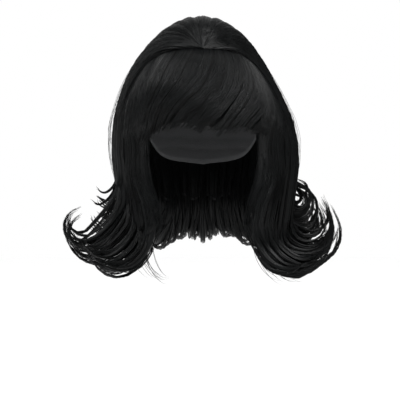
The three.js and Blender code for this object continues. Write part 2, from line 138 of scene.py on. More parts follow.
# The cap's edge: hairline, temple, ear tab, ear and nape. `at` is the azimuth.
CAP_EDGE = named_rows(
    ("at", "level"),
    (0, 0.64),
    (35, 0.67),
    (58, 0.86),
    (74, 1.1),
    (84, 1.08),
    (98, 0.93),
    (118, 1.0),
    (145, 1.26),
    (180, 1.34),
)

# The bangs' lower edge, with a tip and a notch over the nose. `at` is the place across, from +X to -X.
BROW_LINE = named_rows(
    ("at", "level"),
    (0.0, BANGS_SIDE_END),
    (0.09, 1.11),
    (0.17, 1.078),
    (0.215, 1.05),
    (0.255, 1.028),
    (0.29, 1.03),
    (0.36, 1.044),
    (0.4, 1.06),
    (0.435, 1.068),
    (0.458, 1.014),
    (0.485, 1.03),
    (0.512, 1.05),
    (0.545, 1.016),
    (0.6, 1.002),
    (0.66, 1.0),
    (0.71, 1.012),
    (0.768, 1.045),
    (0.802, 1.095),
    (0.88, 1.14),
    (1.0, BANGS_SIDE_END),
)

# The face-framing hair's front edge: azimuths as shares of FACE_EDGE. `at` is the level.
FACE_LINE = named_rows(
    ("at", "share"),
    (0.8, 1.05),
    (1.1, 1.0),
    (1.4, 1.06),
    (1.65, 1.0),
    (1.8, 0.89),
    (2.0, 0.87),
    (2.2, 0.95),
)

# Half the width of the tuft in the crown's V, as a share of the whole fan. `at` is the place along a strand.
TUFT_EDGE = named_rows(
    ("at", "half"),
    (0.0, 0.06),
    (0.3, 0.055),
    (0.6, 0.012),
    (1.0, 0.0),
)

# The falls of long hair and the number of their strands. `front` and `rear` are azimuths on the +X side,
# and side -1 mirrors them.
FALLS = {
    "temple_left": {"side": -1, "front": FACE_EDGE, "rear": SWEEP_EDGE, "strands": 310},
    "temple_right": {"side": 1, "front": FACE_EDGE, "rear": SWEEP_EDGE, "strands": 310},
    "side_fall_left": {"side": -1, "front": SWEEP_EDGE, "rear": SIDE_EDGE, "strands": 1080},
    "side_fall_right": {"side": 1, "front": SWEEP_EDGE, "rear": SIDE_EDGE, "strands": 1080},
    "back_fall_left": {"side": -1, "front": SIDE_EDGE, "rear": BACK_EDGE, "strands": 620},
    "back_fall_centre": {"side": 1, "front": BACK_EDGE, "rear": 360 - BACK_EDGE, "strands": 620},
    "back_fall_right": {"side": 1, "front": SIDE_EDGE, "rear": BACK_EDGE, "strands": 620},
}

# A whole flipped lock: the radius of its gentle bend, that of its tight end, its straight tip, its width
# and its thickness
BEND_RADIUS = 0.070
FLIP_RADIUS = 0.030
TIP_LENGTH = 0.020
LOCK_WIDTH = 0.027
LOCK_DEPTH = 0.020
BEND_TURN = 60  # the gentle bend gives way to the tight end after this many degrees

# The slimmer locks that lie between those of the table, as shares of them
SLIMMER_LOCK = {"wide": 0.8, "deep": 0.8, "flip": 0.85, "turn": 0.9, "tip": 0.6}

# The flipped locks. `across` is the share of the fall from front to rear, `leave` the level where the lock
# turns away, `place` its share of the hair's depth there, `turn` how far it turns, in degrees, and `fray`
# how far its wisps part. The other columns are shares of the five sizes above.
LOCK_MEASURES = ("leave", "place", "bend", "flip", "turn", "tip", "wide", "deep", "fray")
LOCKS = named_rows(
    ("on", "across", *LOCK_MEASURES),
    ("temple_left", 0.5, 1.955, 0.45, 0.8, 1.3, 120, 0.8, 1.1, 1.3, 0.35),
    ("temple_right", 0.5, 1.955, 0.45, 0.8, 1.6, 125, 0.9, 1.0, 1.1, 0.35),
    ("side_fall_left", 0.13, 1.44, 0.55, 1.32, 0.68, 205, 0.4, 0.95, 1.5, 0.85),
    ("side_fall_left", 0.36, 1.83, 0.5, 0.87, 1.03, 150, 0.5, 1.0, 1.3, 0.5),
    ("side_fall_left", 0.62, 1.56, 0.62, 0.38, 0.42, 135, 0.4, 0.7, 0.6, 0.9),
    ("side_fall_left", 0.87, 1.7, 0.6, 0.64, 0.67, 150, 0.5, 1.0, 1.1, 0.6),
    ("side_fall_right", 0.12, 1.94, 0.4, 0.69, 1.25, 160, 0.6, 0.95, 1.2, 0.5),
    ("side_fall_right", 0.36, 1.84, 0.5, 0.69, 0.96, 215, 0.7, 1.0, 1.6, 0.55),
    ("side_fall_right", 0.62, 1.65, 0.5, 0.4, 0.5, 228, 1.1, 1.2, 1.4, 0.6),
    ("side_fall_right", 0.87, 1.8, 0.5, 0.6, 0.7, 180, 0.5, 1.0, 1.1, 0.6),
    ("back_fall_left", 0.18, 1.76, 0.5, 0.6, 0.8, 180, 0.6, 0.95, 1.2, 0.3),
    ("back_fall_left", 0.5, 1.66, 0.5, 0.6, 0.7, 200, 0.8, 1.0, 1.1, 0.3),
    ("back_fall_left", 0.82, 1.76, 0.5, 0.7, 0.85, 190, 0.6, 0.95, 1.2, 0.3),
    ("back_fall_centre", 0.18, 1.68, 0.5, 0.6, 0.8, 205, 0.7, 0.95, 1.1, 0.3),
    ("back_fall_centre", 0.5, 1.72, 0.5, 0.65, 0.9, 190, 0.5, 1.0, 1.2, 0.3),
    ("back_fall_centre", 0.82, 1.7, 0.5, 0.6, 0.75, 200, 0.8, 0.95, 1.1, 0.3),
    ("back_fall_right", 0.18, 1.7, 0.5, 0.65, 0.8, 185, 0.6, 0.95, 1.2, 0.3),
    ("back_fall_right", 0.5, 1.76, 0.5, 0.6, 0.75, 195, 0.9, 1.0, 1.1, 0.3),
    ("back_fall_right", 0.82, 1.7, 0.5, 0.7, 0.8, 200, 0.5, 0.95, 1.2, 0.3),
)

# Thin curls that stand free of the locks, in the same columns, with the number of their strands
CURLS = named_rows(
    ("on", "across", "leave", "place", "bend", "flip", "turn", "tip", "strands"),
    ("side_fall_left", 0.14, 1.455, 0.6, 1.36, 0.72, 250, 0.5, 36),
    ("side_fall_left", 0.1, 1.5, 0.6, 1.34, 0.66, 235, 0.4, 30),
    ("side_fall_left", 0.18, 1.5, 0.5, 1.32, 0.82, 185, 0.4, 24),
    ("side_fall_right", 0.3, 1.82, 0.6, 0.64, 0.9, 200, 0.6, 24),
    ("side_fall_right", 0.34, 1.86, 0.5, 0.68, 0.96, 192, 0.6, 22),
    ("side_fall_left", 0.36, 1.42, 0.8, 0.42, 0.2, 118, 0.3, 9),
    ("side_fall_left", 0.52, 1.46, 0.9, 0.34, 0.26, 148, 0.2, 16),
    ("side_fall_left", 0.41, 1.5, 0.95, 0.5, 0.24, 128, 0.35, 12),
    ("side_fall_left", 0.6, 1.57, 0.8, 0.42, 0.34, 165, 0.1, 10),
    ("side_fall_left", 0.46, 1.62, 0.9, 0.48, 0.2, 140, 0.2, 8),
    ("side_fall_left", 0.05, 1.52, 0.5, 1.35, 0.85, 150, 0.3, 14),
    ("side_fall_right", 0.04, 2.0, 0.3, 0.95, 0.55, 165, 0.2, 26),
    ("side_fall_right", 0.55, 1.62, 0.75, 0.31, 0.4, 240, 1.0, 44),
    ("side_fall_right", 0.6, 1.54, 0.8, 0.24, 0.3, 245, 0.5, 18),
    ("side_fall_right", 0.45, 1.7, 0.7, 0.62, 0.7, 205, 0.8, 18),
)

# What else the side falls have: the seed of their random draws, the thickness of the rolled edge, how far
# along it fades, and the number of stray strands
SIDE_EXTRAS = named_rows(
    ("node", "seed", "roll", "fade", "strays"),
    ("side_fall_left", 41, 0.007, 0.42, 22),
    ("side_fall_right", 42, 0.0045, 0.3, 8),
)

# The fibre: half the thickness of a modelled strand, which stands for a few real fibres
STRAND_RADIUS = 0.0004
STRAND_SIDES = 3
WISPS = 6  # in each lock

# The share of strands that lie inside: of a section with no locks, and of a fall
INNER_SHARE = 0.15
FALL_INNER_SHARE = 0.2

# The underlayer: its outside as a share of the section's depth, how far its hem waves on the map, and the
# levels where it ends behind the locks
UNDER_SHARE = 0.95
HEM_WAVE = 0.06
TEMPLE_UNDER_END = TEMPLE_END - 0.08
SIDE_UNDER_END = FALL_END - 0.12
BACK_UNDER_END = 1.72

# The darkest and the lightest tone of the fibre and of the net
FIBRE_TONES = ((0.0002, 0.00022, 0.00025, 1), (0.0022, 0.0025, 0.0026, 1))
NET_TONES = ((0.011, 0.0115, 0.012, 1), (0.019, 0.0195, 0.0205, 1))

# The camera looks level, and its view is this wide at the face
CAMERA_DISTANCE = 3.0
VIEW_WIDTH = 0.476
FACE_Y = -0.095
CAMERA_X = -0.00357
CAMERA_Z = -0.1909

# The floor lies this far below the wig
FLOOR_DROP = 0.25
FLOOR_SIZE = 24

LIGHTS = named_rows(
    ("name", "spot", "size", "power"),
    ("key", (-0.6, -2.1, 1.9), 1.0, 190),
    ("fill", (0.9, -1.8, 2.1), 1.2, 70),
    ("top", (0.1, -0.6, 2.3), 1.2, 88),
)


def lerp(a, b, t):
    return a + (b - a) * t


def smoothstep(x, low, high):
    t = np.clip((np.asarray(x, float) - low) / (high - low), 0, 1)
    return t * t * (3 - 2 * t)


def read(table, column, at):
    """A column of a table at places between its rows, on a smooth curve through them."""
    x = np.array([row["at"] for row in table], float)
    y = np.array([row[column] for row in table], float)
    at = np.asarray(at, float)
    i = np.clip(np.searchsorted(x, at) - 1, 0, len(x) - 2)
    before = np.maximum(i - 1, 0)
    after = np.minimum(i + 2, len(x) - 1)
    span = x[i + 1] - x[i]
    t = np.clip((at - x[i]) / span, 0, 1)
    start_slope = (y[i + 1] - y[before]) / (x[i + 1] - x[before]) * span
    end_slope = (y[after] - y[i]) / (x[after] - x[i]) * span
    return (
        y[i] * (1 + 2 * t) * (1 - t) ** 2
        + y[i + 1] * t * t * (3 - 2 * t)
        + start_slope * t * (1 - t) ** 2
        - end_slope * t * t * (1 - t)
    )


def spot_at(azimuth, level):
    """Spots on the map from their azimuth, in degrees, and level."""
    a = np.radians(azimuth)
    return np.stack(np.broadcast_arrays(level * np.sin(a), -level * np.cos(a)), -1)


def point_off(spot, offset):
    """The points this far outside the cap's inner surface, at spots on the map."""
    level = np.linalg.norm(spot, axis=-1)
    safe = np.maximum(level, 1e-9)
    x = np.where(level > 0, spot[..., 0] / safe, 0)
    y = np.where(level > 0, spot[..., 1] / safe, 1)
    hanging = np.maximum(level, 1)
    half_width = CAP_WIDTH / 2 * read(FALL_OUTLINE, "side", hanging)
    ends = np.where(y < 0, read(FALL_OUTLINE, "front", hanging), read(FALL_OUTLINE, "back", hanging))
    radius = 1 / np.hypot(x / half_width, y / (CAP_LENGTH / 2 * ends))
    polar = np.minimum(level, 1) * math.pi / 2
    slope = np.arctan2(np.sin(polar) / radius, np.cos(polar) / CAP_HEIGHT)
    reach = radius * np.sin(polar) + np.sin(slope) * offset
    height = CAP_HEIGHT * (np.cos(polar) - 1) - FALL_DROP * (hanging - 1) + np.cos(slope) * offset
    return np.stack([reach * x, reach * y, height], -1)


def hair_depth(spot):
    """The hair's depth at spots on the map."""
    level = np.linalg.norm(spot, axis=-1)
    safe = np.maximum(level, 1e-9)
    sine = spot[..., 0] / safe
    cosine = -spot[..., 1] / safe
    depth = (
        CROWN_VOLUME * read(HAIR_DEPTH, "crown", level)
        + BANGS_VOLUME * read(HAIR_DEPTH, "front", level) * np.maximum(cosine, 0) ** 2
        + SIDE_VOLUME * read(HAIR_DEPTH, "side", level) * sine**2
        + BACK_VOLUME * read(HAIR_DEPTH, "back", level) * np.minimum(cosine, 0) ** 2
        + LEAN * read(HAIR_DEPTH, "lean", level) * sine
    )
    away = np.linalg.norm(spot - spot_at(0, PIN_LEVEL), axis=-1) / PIN_DIP_REACH
    return depth * (1 - PIN_DIP * np.exp(-(away**2)))


def hair_point(spot, share):
    """Points in the hair: share 0 is on the cap and share 1 on the outside."""
    return point_off(spot, CAP_WALL + CLEARANCE + FACET_SAG + share * hair_depth(spot))


def fan(strand, along):
    """Spots on the long strands that fan out from the pin, as in the CAD.

    Strand 0 runs along the -X edge of the bangs, strand 0.5 over the crown to the nape and strand 1 along
    the +X edge. The place along a strand is 0 at the pin and is the level from 1 on.
    """
    strand, along = np.broadcast_arrays(np.asarray(strand, float), np.asarray(along, float))
    end = spot_at(-lerp(SWEEP_EDGE, 360 - SWEEP_EDGE, strand), 1)
    pin = spot_at(0, PIN_LEVEL)
    leaving = np.radians(lerp(FIRST_HEADING, LAST_HEADING, strand))
    first = pin + HEADING_REACH * np.stack([np.cos(leaving), np.sin(leaving)], -1)
    second = end * 2 / 3
    t = np.clip(along, 0, 1)[..., None]
    curve = pin * (1 - t) ** 3 + 3 * first * t * (1 - t) ** 2 + 3 * second * t * t * (1 - t) + end * t**3
    return np.where(along[..., None] < 1, curve, end * along[..., None])


def crowned(across, locks, edge=0.35, furrow=0.07):
    """The outer form of a section across it: lower at its edges and in the furrows between its locks."""
    rounded = 1 - edge * np.abs(2 * across - 1) ** 5
    return rounded - furrow * (0.5 + 0.5 * np.cos(2 * math.pi * locks * across))


def from_pin(along):
    """The hair's share of its depth near the pin, where it is drawn in."""
    return lerp(0.86, 1, smoothstep(along, 0, 0.1))


def fan_strand(side, azimuth):
    """The strand of the fan that hangs at an azimuth of one side."""
    strand = (azimuth - SWEEP_EDGE) / (360 - 2 * SWEEP_EDGE)
    return strand if side < 0 else 1 - strand


# Each section is a path, which gives spots from places across and along, and a depth, which gives the
# shares between which the hair lies.


def bangs_section():
    """The bangs, which hang from under the sweep of the long hair, over the brow, and run from +X to -X."""

    def side_spot(edge, along):
        return fan(edge, lerp(BANGS_CORNER, BANGS_SIDE_END, along))

    def root_spot(across):
        along = np.abs(2 * across - 1) * BANGS_CORNER
        return fan(np.where(across < 0.5, 1.0, 0.0), along) + np.array([0, -BANGS_ROOT_STEP])

    def brow_spot(across):
        corners = [side_spot(1, 1), side_spot(0, 1)]
        first, last = (math.degrees(math.atan2(c[0], -c[1])) for c in corners)
        return spot_at(lerp(first, last, across), read(BROW_LINE, "level", across))

    def sweep(u, v):
        return u + BANGS_SWEEP * v * v * 4 * u * (1 - u)

    def path(u, v):
        u, v = np.broadcast_arrays(sweep(u, v), v)
        s, t = u[..., None], v[..., None]
        spot = root_spot(u) * (1 - t) + brow_spot(u) * t
        spot = spot + side_spot(1, v) * (1 - s) + side_spot(0, v) * s
        spot = spot - root_spot(np.zeros(1)) * (1 - s) * (1 - t) - root_spot(np.ones(1)) * s * (1 - t)
        return spot - brow_spot(np.zeros(1)) * (1 - s) * t - brow_spot(np.ones(1)) * s * t

    def depth(u, v):
        margin = smoothstep(np.abs(2 * sweep(u, v) - 1), 0.55, 0.7)
        low = 0.46 * margin * smoothstep(v, 0.2, 0.4)
        tucked = lerp(0.74, 0.93, smoothstep(np.abs(2 * u - 1), 0.15, 0.7))
        root = lerp(tucked, 1, smoothstep(v, 0, 0.45))
        tip = 1 - lerp(0.45, 0.28, margin) * smoothstep(v, 0.75, 1)
        return low, crowned(u, 6, 0.05, 0.03) * root * tip

    return path, depth


def crown_section(side):
    """One of the crown's two lobes, drawn back from the pin over the top of the head."""

    def path(u, v):
        inner = 0.5 - read(TUFT_EDGE, "half", v)
        outer = fan_strand(-1, SIDE_EDGE)
        across = lerp(outer, inner, u)
        return fan(across if side < 0 else 1 - across, v)

    def depth(u, v):
        rim = 1 - 0.06 * smoothstep(v, 0.7, CROWN_END)
        return 0.0 * u, crowned(u, 3, 0.06, 0.025) * rim * from_pin(v)

    return path, depth


def tuft_section():
    """The tuft between the crown's lobes."""

    def path(u, v):
        half = np.maximum(read(TUFT_EDGE, "half", v), 0.015)
        return fan(lerp(0.5 - half, 0.5 + half, u), v)

    def depth(u, v):
        return 0.0 * u, (0.93 - 0.03 * np.abs(2 * u - 1) ** 3) * from_pin(v)

    return path, depth


def temple_section(side):
    """The face-framing hair before one ear, which lies low under the bangs and rises below them."""

    def path(u, v):
        face = spot_at(side * FACE_EDGE * read(FACE_LINE, "share", v), v)
        return lerp(face, fan(1.0 if side > 0 else 0.0, v), np.asarray(u)[..., None])

    def depth(u, v):
        high = lerp(0.38, 1, smoothstep(v, BANGS_SIDE_END - 0.05, BANGS_SIDE_END + 0.3))
        return 0.0 * u, high * crowned(u, 2)

    return path, depth


def fall_section(name):
    """A fall of long hair. The side falls start at the pin and the back falls under the crown."""
    fall = FALLS[name]

    def path(u, v):
        return fan(fan_strand(fall["side"], lerp(fall["front"], fall["rear"], u)), v)

    def side_depth(u, v):
        return 0.0 * u, from_pin(v) * crowned(u, 4, 0.07, 0.03)

    def back_depth(u, v):
        top = lerp(0.8, 1, smoothstep(v, CROWN_END, CROWN_END + 0.15))
        return 0.0 * u, top * crowned(u, 3, 0.1, 0.04)

    return path, back_depth if name.startswith("back") else side_depth


# Meshes


def mesh_of(name, points, faces, across):
    """A smooth mesh piece from points and faces, with the place across it kept for the material."""
    mesh = bpy.data.meshes.new(name)
    size = faces.shape[1]
    mesh.vertices.add(len(points))
    mesh.vertices.foreach_set("co", points.astype(np.float32).ravel())
    mesh.loops.add(faces.size)
    mesh.loops.foreach_set("vertex_index", faces.astype(np.int32).ravel())
    mesh.polygons.add(len(faces))
    mesh.polygons.foreach_set("loop_start", np.arange(0, faces.size, size, dtype=np.int32))
    mesh.polygons.foreach_set("use_smooth", np.full(len(faces), True))
    mesh.update(calc_edges=True)
    kept = mesh.attributes.new("strand", "FLOAT", "POINT")
    kept.data.foreach_set("value", across.astype(np.float32))
    piece = bpy.data.objects.new(name, mesh)
    bpy.context.scene.collection.objects.link(piece)
    return piece


def grid_faces(rows, columns):
    """Quads of a grid that closes on itself across its columns."""
    r, c = np.meshgrid(np.arange(rows - 1), np.arange(columns), indexing="ij")
    here = r * columns + c
    beside = r * columns + (c + 1) % columns
    return np.stack([here, beside, beside + columns, here + columns], -1).reshape(-1, 4)


def underlayer(path, depth, start, end, waves, tongue, columns=30, rows=36):
    """The dark layer under a section's strands: a closed shell whose ends are pressed flat.

    Its hem waves where the section has locks, and draws in to a tongue, a share of its width.
    """
    u = np.linspace(0.005, 0.995, columns)
    last = end - HEM_WAVE * (0.5 + 0.5 * np.sin(waves * u + end)) * (waves > 0)
    sections = []
    for t in np.linspace(0, 1, rows):
        v = lerp(start, last, t)
        narrow = 0.5 + (u - 0.5) * lerp(1, tongue, smoothstep(t, 0.75, 1))
        low, high = depth(narrow, v)
        thin = smoothstep(t, 0.7, 1)
        top = low + (high - low) * lerp(lerp(0.8, UNDER_SHARE, smoothstep(t, 0, 0.2)), 0.4, thin)
        bottom = low + (high - low) * lerp(0.03, 0.2, thin)
        spot = path(narrow, v)
        outside = hair_point(spot, top)
        inside = hair_point(spot, bottom)
        sections.append(np.concatenate([outside, inside[::-1]]))
    pressed = [(s + s[::-1]) / 2 for s in (sections[0], sections[-1])]
    sections = [pressed[0], *sections, pressed[1]]
    points = np.concatenate(sections)
    across = np.tile(np.concatenate([u, u[::-1]]), len(sections))
    return points, grid_faces(len(sections), 2 * columns), across


def strand_mesh(name, paths, radii, tone):
    """Tapered strands of three sides along paths of points, all in one mesh. Each is a tube whose two ends
    are left open.
    """
    count, length, _ = paths.shape
    along = np.gradient(paths, axis=1)
    along /= np.maximum(np.linalg.norm(along, axis=2, keepdims=True), 1e-12)
    side = np.cross(along[:, 0], np.array([0.31, 0.47, 0.83]))
    sides = []
    for i in range(length):
        side = side - along[:, i] * np.sum(side * along[:, i], axis=1, keepdims=True)
        side /= np.maximum(np.linalg.norm(side, axis=1, keepdims=True), 1e-12)
        sides.append(side)
    side = np.stack(sides, 1)
    other = np.cross(along, side)
    angle = 2 * math.pi * np.arange(STRAND_SIDES) / STRAND_SIDES
    ring = side[:, :, None] * np.cos(angle)[:, None] + other[:, :, None] * np.sin(angle)[:, None]
    points = paths[:, :, None] + ring * radii[:, :, None, None]
    faces = grid_faces(length, STRAND_SIDES)
    per = length * STRAND_SIDES
    faces = (faces[None] + (np.arange(count) * per)[:, None, None]).reshape(-1, 4)
    return mesh_of(name, points.reshape(-1, 3), faces, np.repeat(tone, per))


def taper(count, length, rng, tip_from=0.7, tip=0.2):
    """Radii along strands: a thin root, an even middle and a drawn-out tip."""
    t = np.linspace(0, 1, length)
    shape = lerp(0.5, 1, smoothstep(t, 0, 0.1)) * (1 - (1 - tip) * smoothstep(t, tip_from, 1))
    return STRAND_RADIUS * rng.uniform(0.75, 1.25, (count, 1)) * shape


def laid(path, depth, across, share, along):
    """Points in a section at places across and along it and at shares of its own depth."""
    low, high = depth(across, along)
    return hair_point(path(across, along), low + (high - low) * share)


def clumps_of(rng, across, share, number):
    """For each strand, the number and the middle of the clump that it belongs to."""
    middles = np.linspace(across.min(), across.max(), number + 1)[:-1] + np.ptp(across) / number / 2
    middles = middles + rng.uniform(-0.3, 0.3, number) * np.ptp(across) / number
    depths = rng.uniform(0.5, 1, number)
    apart = np.hypot(across[:, None] - middles, 0.1 * (share[:, None] - depths))
    nearest = apart.argmin(1)
    return nearest, middles[nearest]


def section_strands(
    section, start, end, count, seed, clumps, points, gather, spill=0.02, sweep=0, ragged=0
):
    """Strands of a section with no locks. They gather a little into clumps towards their tips."""
    rng = np.random.default_rng(seed)
    across = rng.uniform(-spill, 1 + spill, count)
    is_inner = rng.random(count) < INNER_SHARE
    share = np.where(is_inner, rng.uniform(0.1, 0.8, count), 1.015 - 0.05 * rng.random(count))
    which, middle = clumps_of(rng, across, share, clumps)
    first = start + (end - start) * 0.5 * rng.random(count) ** 3
    last = end + rng.normal(0, 0.012, count) + ragged * rng.uniform(-1, 0.4, clumps)[which]
    t = np.linspace(0, 1, points) ** 1.35
    along = first[:, None] + (last - first)[:, None] * t
    across = across[:, None] + (middle - across)[:, None] * gather * smoothstep(t, 0.3, 1)
    across = across + sweep * smoothstep(along, 0.45, 1) ** 1.5 * np.clip(4 * across * (1 - across), 0, 1)
    paths = laid(*section, across, share[:, None], along)
    return paths, taper(count, points, rng), across[:, 0] + 0.006 * rng.random(count)


def lock_place(lock):
    """The azimuth of a lock, counted round the head from the face over the right ear."""
    fall = FALLS[lock["on"]]
    azimuth = lerp(fall["front"], fall["rear"], lock["across"])
    return azimuth if fall["side"] > 0 else 360 - azimuth


LOCK_ROUND = sorted(LOCKS, key=lock_place)


def lock_value(key, round_place):
    """A lock's measure at any place round the head, between the locks of the table."""
    places = [lock_place(lock) for lock in LOCK_ROUND]
    return np.interp(round_place, places, [lock[key] for lock in LOCK_ROUND])


def flip(own, travelled):
    """How far out and down, and at what turn, a lock's line is at lengths along it."""
    bend = BEND_RADIUS * own["bend"]
    tight = FLIP_RADIUS * own["flip"]
    first = math.radians(BEND_TURN)
    last = np.radians(own["turn"])
    bend_length = bend * first
    tight_length = tight * (last - first)
    turn = np.where(travelled < bend_length, travelled / bend, first + (travelled - bend_length) / tight)
    turn = np.clip(turn, 0, last)
    in_bend = np.minimum(turn, first)
    in_tight = np.maximum(turn, first)
    out = bend * (1 - np.cos(in_bend)) + tight * (math.cos(first) - np.cos(in_tight))
    down = bend * np.sin(in_bend) + tight * (np.sin(in_tight) - math.sin(first))
    straight = np.maximum(travelled - bend_length - tight_length, 0)
    return out + straight * np.sin(turn), down + straight * np.cos(turn), turn


def clumps_round(name):
    """The clumps of a fall: the locks of the table, with slimmer and shorter ones between and beside them."""
    fall = FALLS[name]
    locks = sorted((lock for lock in LOCKS if lock["on"] == name), key=lambda lock: lock["across"])
    places = [lock["across"] for lock in locks]
    middles = [(a + b) / 2 for a, b in zip(places, places[1:])] or [0.15, 0.85]
    ends = [0.01, 0.99] if len(places) > 1 else []
    made = []
    for across in sorted(places + middles + ends):
        whole = across in places
        azimuth = lerp(fall["front"], fall["rear"], across)
        around = azimuth if fall["side"] > 0 else 360 - azimuth
        clump = {key: float(lock_value(key, around)) for key in LOCK_MEASURES}
        if not whole:
            for key, factor in SLIMMER_LOCK.items():
                clump[key] *= factor
        made.append({**clump, "across": across, "heading": fall["side"] * azimuth, "whole": whole})
    return made


def lock_length(own):
    """The length of each lock's line, from where it leaves the surface."""
    bend = BEND_RADIUS * own["bend"] * math.radians(BEND_TURN)
    tight = FLIP_RADIUS * own["flip"] * np.radians(own["turn"] - BEND_TURN)
    return bend + tight + TIP_LENGTH * own["tip"]


def level_vector(azimuth):
    """The level unit vector that points out from the head at an azimuth."""
    a = np.radians(azimuth)
    return np.stack([np.sin(a), -np.cos(a), 0 * a], -1)


def lock_line(own, f):
    """The middle line of each lock at shares of its length, and its outward direction across the lock."""
    out, down, turn = flip(own, f * lock_length(own))
    ahead = level_vector(own["heading"])
    up = np.array([0, 0, 1.0])
    root = hair_point(spot_at(own["heading"], own["leave"]), own["place"])
    line = root + ahead * out[..., None] - up * down[..., None]
    return line, ahead * np.cos(turn)[..., None] + up * np.sin(turn)[..., None]


def lock_taper(f):
    """How wide a lock is along its line: it swells a little, then draws in to its tip."""
    return (1 + 0.25 * f) * (1 - 0.92 * smoothstep(f, 0.45, 1))


def lock_cores(name, sides=8, rings=12):
    """The solid heart of each clump: a tapered tube along its line, with its root up inside the section."""
    points, faces = [], []
    angle = 2 * math.pi * np.arange(sides) / sides
    for clump in clumps_round(name):
        own = {key: np.array(clump[key]) for key in clump}
        f = np.linspace(0, 0.93, rings)
        line, deep = lock_line(own, f)
        wide = np.cross(level_vector(own["heading"]), [0, 0, 1.0])
        above = own["leave"] - np.linspace(0.3, 0.1, 3)
        stem = hair_point(spot_at(own["heading"], above), np.full(3, clump["place"]))
        line = np.concatenate([stem, line])
        deep = np.concatenate([np.repeat(deep[:1], 3, 0), deep])
        apart = 1 - 0.85 * clump["fray"] * smoothstep(f, 0.1, 0.5)
        size = np.concatenate([[0.05, 0.5, 0.62], 0.66 * lock_taper(f) * apart])
        half_width = size * LOCK_WIDTH / 2 * clump["wide"]
        half_depth = size * LOCK_DEPTH / 2 * clump["deep"]
        ring = line[:, None] + wide * (half_width[:, None] * np.cos(angle))[..., None]
        ring = ring + deep[:, None] * (half_depth[:, None] * np.sin(angle))[..., None]
        faces.append(grid_faces(rings + 3, sides) + sum(len(p) for p in points))
        points.append(ring.reshape(-1, 3))
    points = np.concatenate(points)
    return points, np.concatenate(faces), np.tile(np.arange(sides) / sides * 0.3, len(points) // sides)


def fall_strands(name, section, start, seed, panel_points, lock_points=11):
    """The long strands of a fall: down its section, then out and round on the flipped locks."""
    rng = np.random.default_rng(seed)
    count = FALLS[name]["strands"]
    across = rng.uniform(-0.01, 1.01, count)
    is_inner = rng.random(count) < FALL_INNER_SHARE
    share = np.where(is_inner, rng.uniform(-0.02, 0.3, count), 1.01 - 0.25 * rng.random(count) ** 3)
    clumps = clumps_round(name)
    places = np.array([clump["across"] for clump in clumps])
    widths = np.array([1.3 if clump["whole"] else 0.8 for clump in clumps])
    which = (np.abs(across[:, None] - places) / widths).argmin(1)
    own = {key: np.array([clump[key] for clump in clumps])[which] for key in clumps[0]}

    # Each clump parts into a few wisps, side by side round its oval
    middle = own["across"]
    aside = across - middle
    spans = np.array([np.abs(aside[which == i]).max(initial=0.001) for i in range(len(clumps))])
    is_turned_in = is_inner | (rng.random(count) < 0.25)
    angle = np.arccos(np.clip(aside / spans[which], -1, 1)) * np.where(is_turned_in, -1, 1)
    sector = np.floor(angle / (2 * math.pi) * WISPS).astype(int) % WISPS
    wisp = which * WISPS + sector
    wisp_angle = (sector + 0.5) * 2 * math.pi / WISPS
    fray = own["fray"]

    def varied(whole, loose=0):
        """Factors about 1 that differ from wisp to wisp, and a little from strand to strand."""
        amount = whole + loose * fray
        by_wisp = rng.uniform(-1, 1, len(clumps) * WISPS)[wisp]
        return 1 + (by_wisp + rng.uniform(-0.16, 0.16, count)) * amount

    own["bend"] = own["bend"] * varied(0.03, 0.03)
    own["flip"] = own["flip"] * varied(0.06, 0.12)
    own["turn"] = own["turn"] * varied(0.04, 0.08)
    own["tip"] = own["tip"] * varied(0.25, 0.3)
    side_heading = own["heading"]
    own["heading"] = own["heading"] + 3 * (varied(0.5) - 1)
    own["leave"] = own["leave"] + 0.3 * (varied(0.06) - 1)

    # Down the section
    t = np.linspace(0, 1, panel_points) ** (1.4 if start < 0.3 else 1)
    first = start + 0.3 * rng.random(count) ** 2
    along = first[:, None] + (own["leave"] - first)[:, None] * t
    here = across[:, None] + (middle - across)[:, None] * 0.2 * smoothstep(along, 0.9, 2.0)
    panel = laid(*section, here, share[:, None] + 0 * here, along)

    # Out and round the lock, from the strand's place in the section to its place on the lock's oval
    own = {key: own[key][:, None] for key in own}
    f = np.linspace(0, 1, lock_points + 1)[1:] * rng.uniform(0.86, 1, count)[:, None]
    line, deep = lock_line(own, f)
    root, _ = lock_line(own, 0 * f[:, :1])
    wide = level_vector(side_heading + 90)
    ahead = level_vector(side_heading)
    offset = panel[:, -1] - root[:, 0]
    off_wide = np.sum(offset * wide, 1)
    off_deep = np.sum(offset * ahead, 1)
    size = (1 - 0.25 * rng.random(count) ** 2)[:, None] * lock_taper(f)
    pull = 0.25 + (0.1 + 0.58 * own["fray"]) * smoothstep(f, 0.1, 0.5)
    over_wide = lerp(np.cos(angle)[:, None], np.cos(wisp_angle)[:, None], pull)
    over_deep = lerp(np.sin(angle)[:, None], np.sin(wisp_angle)[:, None], pull)
    lock_wide = LOCK_WIDTH / 2 * own["wide"] * size * over_wide
    lock_deep = LOCK_DEPTH / 2 * own["deep"] * size * over_deep
    onto = smoothstep(f, 0, 0.35)
    by_wide = off_wide[:, None] * (1 - onto) + lock_wide * onto
    by_deep = off_deep[:, None] * (1 - onto) + lock_deep * onto
    curl = line + wide[:, None] * by_wide[..., None] + deep * by_deep[..., None]
    curl = curl + np.array([0, 0, 1.0]) * (offset[:, 2:3] * (1 - onto))[..., None]
    paths = np.concatenate([panel, curl], 1)
    return paths, taper(count, paths.shape[1], rng, 0.82, 0.25), here[:, 0] + 0.01 * rng.random(count)


